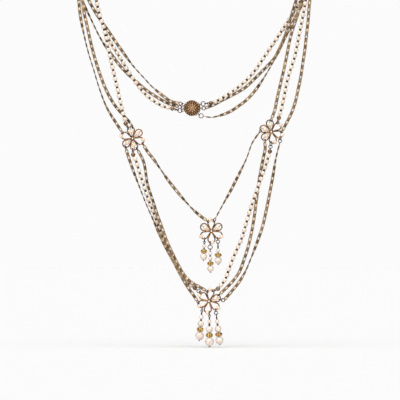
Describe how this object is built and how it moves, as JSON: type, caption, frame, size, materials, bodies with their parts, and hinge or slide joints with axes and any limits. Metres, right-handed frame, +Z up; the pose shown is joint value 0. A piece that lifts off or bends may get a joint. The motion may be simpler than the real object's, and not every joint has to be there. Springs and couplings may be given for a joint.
{
  "type": "costume necklace",
  "caption": "Costume necklace of flat antique-brass chains and faux-pearl strings, with a round clasp and wire flowers that carry pearl drops.",
  "frame": {"origin": "the top of the round support that the strands hang over, in the middle between the two sides", "axes": "+X to the right in the picture, +Z up, -Y to the front, which carries the flowers"},
  "size_m": [0.2217, 0.0371, 0.352],
  "materials": {
    "chain_metal": "antique, satin",
    "wire_metal": "antique, satin",
    "cap_metal": "antique, polished",
    "gilt": "polished",
    "pearl": "pearlescent",
    "thread": "matt"
  },
  "bodies": {
    "necklace": {"clasp_box": "wire_metal", "clasp_tongue": "wire_metal", "flower_left": "wire_metal", "flower_right": "wire_metal", "flower_upper": "wire_metal", "flower_lower": "wire_metal", "flower_pearls_left": "pearl", "flower_pearls_right": "pearl", "flower_pearls_upper": "pearl", "flower_pearls_lower": "pearl", "chain_left_outer": "chain_metal", "chain_left_inner": "chain_metal", "chain_right_outer": "chain_metal", "chain_right_inner": "chain_metal", "drape_left": "chain_metal", "drape_right": "chain_metal", "festoon_left_outer": "chain_metal", "festoon_left_inner": "chain_metal", "festoon_right_outer": "chain_metal", "festoon_right_inner": "chain_metal", "pearls_left": "pearl", "thread_left": "thread", "caps_left": "cap_metal", "pearls_right": "pearl", "thread_right": "thread", "caps_right": "cap_metal", "festoon_pearls_left": "pearl", "festoon_thread_left": "thread", "festoon_caps_left": "cap_metal", "festoon_pearls_right": "pearl", "festoon_thread_right": "thread", "festoon_caps_right": "cap_metal", "rings_clasp": "wire_metal", "rings_left": "wire_metal", "rings_right": "wire_metal", "rings_upper": "wire_metal", "rings_lower": "wire_metal"},
    "drop_upper_left": {"drop_wire_upper_left": "wire_metal", "drop_disc_upper_left": "gilt", "drop_pearls_upper_left": "pearl"},
    "drop_upper_middle": {"drop_wire_upper_middle": "wire_metal", "drop_disc_upper_middle": "gilt", "drop_pearls_upper_middle": "pearl"},
    "drop_upper_right": {"drop_wire_upper_right": "wire_metal", "drop_disc_upper_right": "gilt", "drop_pearls_upper_right": "pearl"},
    "drop_lower_left": {"drop_wire_lower_left": "wire_metal", "drop_disc_lower_left": "gilt", "drop_pearls_lower_left": "pearl"},
    "drop_lower_middle": {"drop_wire_lower_middle": "wire_metal", "drop_disc_lower_middle": "gilt", "drop_pearls_lower_middle": "pearl"},
    "drop_lower_right": {"drop_wire_lower_right": "wire_metal", "drop_disc_lower_right": "gilt", "drop_pearls_lower_right": "pearl"}
  },
  "joints": [
    {"name": "swing_upper_left", "type": "hinge", "parent": "necklace", "child": "drop_upper_left", "pos_m": [0.0104, -0.0135, -0.251], "axis": [1, 0, 0], "range_deg": [-60, 60]},
    {"name": "swing_upper_middle", "type": "hinge", "parent": "necklace", "child": "drop_upper_middle", "pos_m": [0.01535, -0.0135, -0.25438], "axis": [1, 0, 0], "range_deg": [-60, 60]},
    {"name": "swing_upper_right", "type": "hinge", "parent": "necklace", "child": "drop_upper_right", "pos_m": [0.02235, -0.0135, -0.25071], "axis": [1, 0, 0], "range_deg": [-60, 60]},
    {"name": "swing_lower_left", "type": "hinge", "parent": "necklace", "child": "drop_lower_left", "pos_m": [0.00826, -0.0135, -0.31274], "axis": [1, 0, 0], "range_deg": [-60, 60]},
    {"name": "swing_lower_middle", "type": "hinge", "parent": "necklace", "child": "drop_lower_middle", "pos_m": [0.01476, -0.0135, -0.31721], "axis": [1, 0, 0], "range_deg": [-60, 60]},
    {"name": "swing_lower_right", "type": "hinge", "parent": "necklace", "child": "drop_lower_right", "pos_m": [0.02044, -0.0135, -0.31487], "axis": [1, 0, 0], "range_deg": [-60, 60]}
  ]
}
